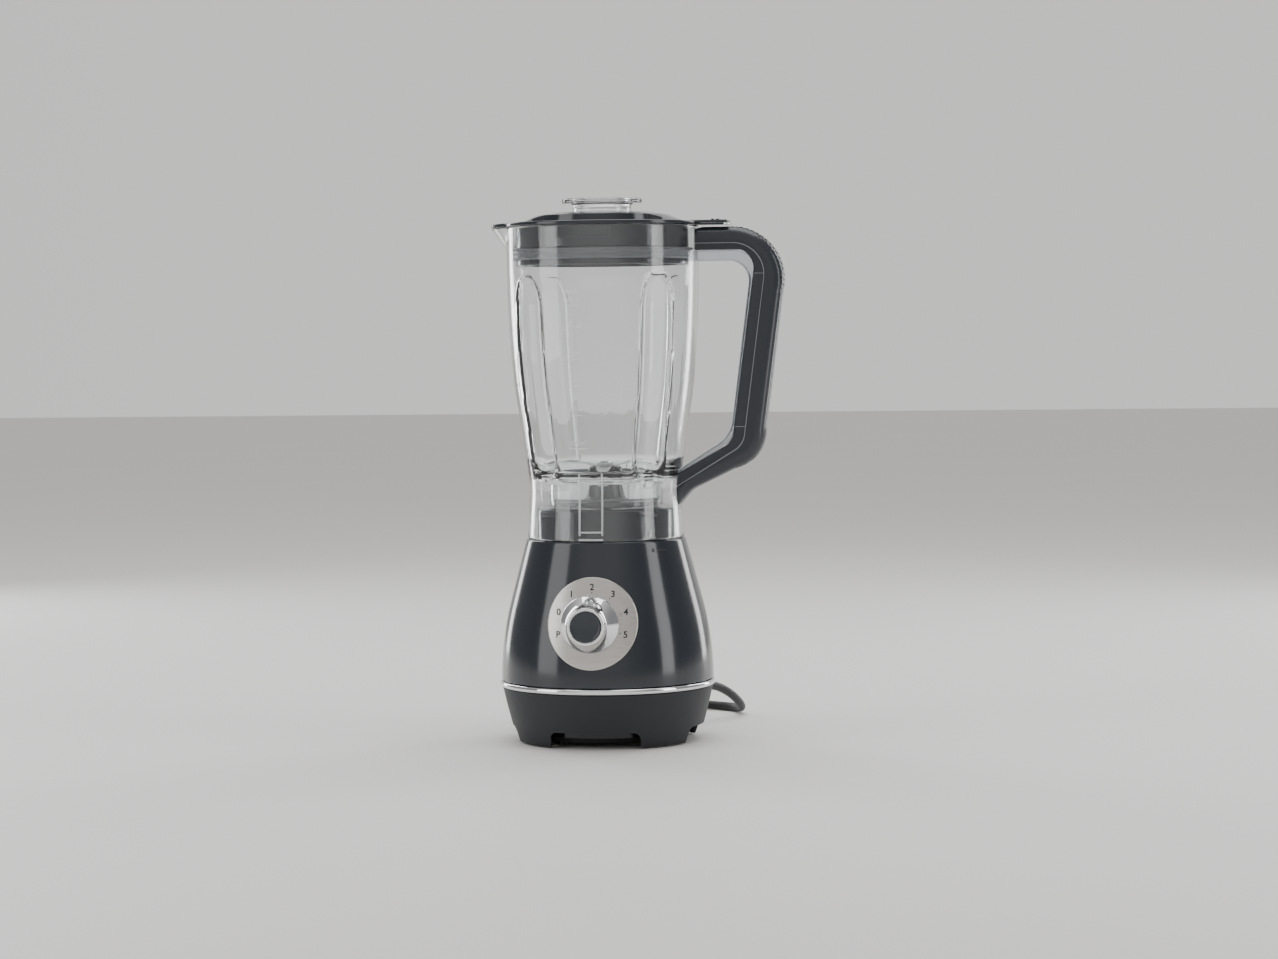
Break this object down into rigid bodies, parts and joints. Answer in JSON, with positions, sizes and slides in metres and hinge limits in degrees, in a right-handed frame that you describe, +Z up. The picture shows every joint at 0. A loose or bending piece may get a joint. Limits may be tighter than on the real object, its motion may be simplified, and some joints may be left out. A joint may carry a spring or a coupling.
{
  "type": "countertop blender",
  "caption": "Countertop blender: bell-shaped grey motor base with a chrome speed knob, clear fluted jug with a hooked handle, blade unit, lid and measuring cap.",
  "frame": {"origin": "middle of the blender's footprint box on the table, without the cord, which is where the bounding box's bottom centre is", "axes": "+Z up the jug's axis; the dial faces -Y and the handle points to +X"},
  "size_m": [0.2234, 0.2977, 0.411],
  "materials": {
    "gloss_grey": "high gloss",
    "matte_grey": "fine matte texture",
    "satin_grey": "satin",
    "black_plastic": "gloss",
    "clear_plastic": "clear moulded plastic",
    "chrome": "mirror",
    "dial_silver": "fine brushed",
    "steel": "brushed",
    "brass": "plain",
    "copper": "enamelled winding",
    "carbon": "matte",
    "rubber": "matte",
    "pale_rubber": "matte",
    "silicone": "translucent satin",
    "board_green": "lacquered board"
  },
  "bodies": {
    "base": {"upper_housing": "gloss_grey", "lower_housing": "matte_grey", "trim_ring": "chrome", "bottom_cover": "black_plastic", "dial_plate": "dial_silver", "stator_core": "steel", "motor_lower_bracket": "black_plastic", "motor_upper_bracket": "steel", "bearing_lower": "steel", "bearing_upper": "steel", "rotary_switch": "black_plastic", "circuit_board": "board_green", "micro_switch": "black_plastic", "strain_relief": "rubber", "power_cord": "rubber", "cord_coil": "rubber", "cord_tail": "rubber", "cord_tie": "rubber", "plug": "rubber", "foot_1": "pale_rubber", "bottom_screw_1": "steel", "foot_2": "pale_rubber", "bottom_screw_2": "steel", "foot_3": "pale_rubber", "bottom_screw_3": "steel", "foot_4": "pale_rubber", "bottom_screw_4": "steel", "stator_coil_1": "copper", "brush_holder_1": "brass", "carbon_brush_1": "carbon", "motor_mount_1": "rubber", "stator_coil_2": "copper", "brush_holder_2": "brass", "carbon_brush_2": "carbon", "motor_mount_2": "rubber"},
    "knob": {"speed_knob": "chrome", "knob_cap": "satin_grey", "switch_spindle": "steel"},
    "rotor": {"rotor_shaft": "steel", "rotor_core": "steel", "commutator": "copper", "cooling_fan": "black_plastic", "drive_coupling": "black_plastic"},
    "interlock": {"interlock_pin": "black_plastic"},
    "blade_unit": {"blade_holder": "black_plastic", "blade_seal": "silicone", "shaft_bush": "brass"},
    "blade_rotor": {"blade_shaft": "steel", "driven_coupling": "black_plastic", "blade_lower": "steel", "blade_upper": "steel", "blade_nut": "steel"},
    "jug": {"jug": "clear_plastic", "handle_frame": "clear_plastic", "handle_grip": "satin_grey", "grip_inlay": "satin_grey", "handle_strip": "clear_plastic"},
    "lid": {"lid": "gloss_grey", "lid_seal": "silicone"},
    "cap": {"measuring_cap": "clear_plastic"}
  },
  "joints": [
    {"name": "knob_turn", "type": "hinge", "parent": "base", "child": "knob", "pos_m": [-0.02626, -0.07945, 0.095], "axis": [0, 1, 0], "range_deg": [-36, 180]},
    {"name": "motor_spin", "type": "hinge", "parent": "base", "child": "rotor", "pos_m": [-0.02626, 0.01055, 0.095], "axis": [0, 0, 1], "continuous": true},
    {"name": "jug_lift", "type": "slide", "parent": "base", "child": "blade_unit", "axis": [0, 0, 1], "range_m": [0, 0.12]},
    {"name": "jug_turn", "type": "hinge", "parent": "blade_unit", "child": "jug", "pos_m": [-0.02626, 0.01055, 0.18], "axis": [0, 0, 1], "range_deg": [0, 25]},
    {"name": "blade_spin", "type": "hinge", "parent": "blade_unit", "child": "blade_rotor", "pos_m": [-0.02626, 0.01055, 0.19], "axis": [0, 0, 1], "continuous": true},
    {"name": "lid_lift", "type": "slide", "parent": "jug", "child": "lid", "axis": [0, 0, 1], "range_m": [0, 0.06]},
    {"name": "cap_lift", "type": "slide", "parent": "lid", "child": "cap", "axis": [0, 0, 1], "range_m": [0, 0.05]},
    {"name": "interlock_rise", "type": "slide", "parent": "base", "child": "interlock", "axis": [0, 0, 1], "range_m": [0, 0.0026]}
  ],
  "couplings": [
    {"joint": "blade_spin", "follows": "motor_spin", "ratio": 1},
    {"joint": "interlock_rise", "follows": "jug_turn", "m_per_rad": 0.00573}
  ]
}
